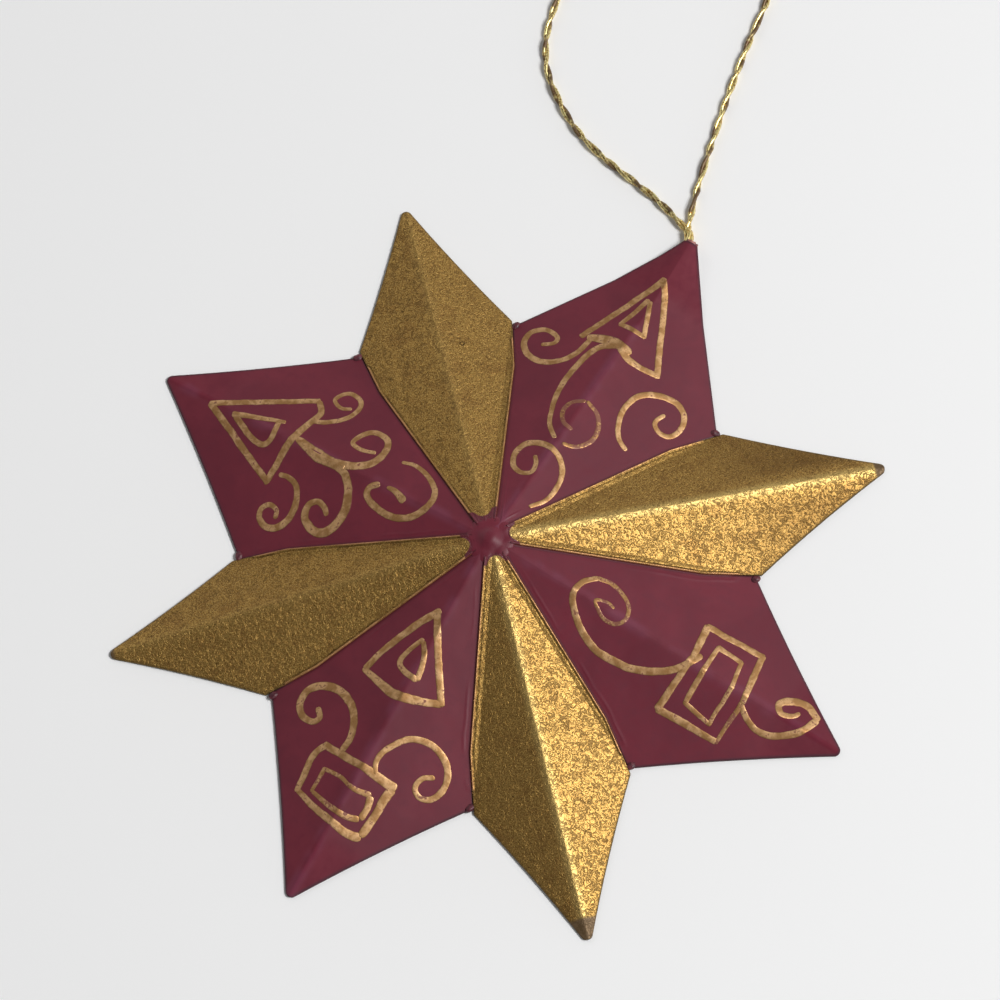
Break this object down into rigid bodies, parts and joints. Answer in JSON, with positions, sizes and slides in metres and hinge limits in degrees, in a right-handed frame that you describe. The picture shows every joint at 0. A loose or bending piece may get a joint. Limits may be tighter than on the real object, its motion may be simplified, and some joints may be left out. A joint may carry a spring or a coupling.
{
  "type": "hojalata tin ornament",
  "caption": "Folded tin star ornament with alternating gold and burgundy rays round a raised centre, and a twisted cord loop to hang it by.",
  "frame": {"origin": "bottom centre of the star without its cord, on the plane that its rim rests on", "axes": "+Z rises through the raised centre and out of the painted front, +Y runs along the ray that the star hangs by, +X to the right seen from the front with the hanging ray up"},
  "size_m": [0.1068, 0.1552, 0.0107],
  "materials": {
    "burgundy_enamel": "satin burgundy enamel with gold brushwork over thin tinplate, bare tin behind",
    "gold_leaf": "thick crackled gold leaf paint over thin tinplate, bare tin behind",
    "solder": "dull grey tin solder",
    "enamelled_solder": "solder under satin burgundy enamel",
    "gold_cord": "two-ply metallic gold cord",
    "glue": "hardened amber glue",
    "seal": "glue and enamel that closes the mouth"
  },
  "bodies": {
    "root": {"hanging_ray_north": "burgundy_enamel", "burgundy_ray_west": "burgundy_enamel", "burgundy_ray_south": "burgundy_enamel", "burgundy_ray_east": "burgundy_enamel", "gold_ray_northwest": "gold_leaf", "gold_ray_southwest": "gold_leaf", "gold_ray_southeast": "gold_leaf", "gold_ray_northeast": "gold_leaf", "solder_seam_nnw": "solder", "solder_seam_wnw": "solder", "solder_seam_wsw": "solder", "solder_seam_ssw": "solder", "solder_seam_sse": "solder", "solder_seam_ese": "solder", "solder_seam_ene": "solder", "solder_seam_nne": "solder", "centre_solder": "enamelled_solder", "notch_solder_drops": "enamelled_solder", "cord_neck": "gold_cord", "cord_knot": "gold_cord", "hanging_cord": "gold_cord", "cord_glue_dab": "glue", "mouth_seal": "seal"}
  },
  "joints": []
}
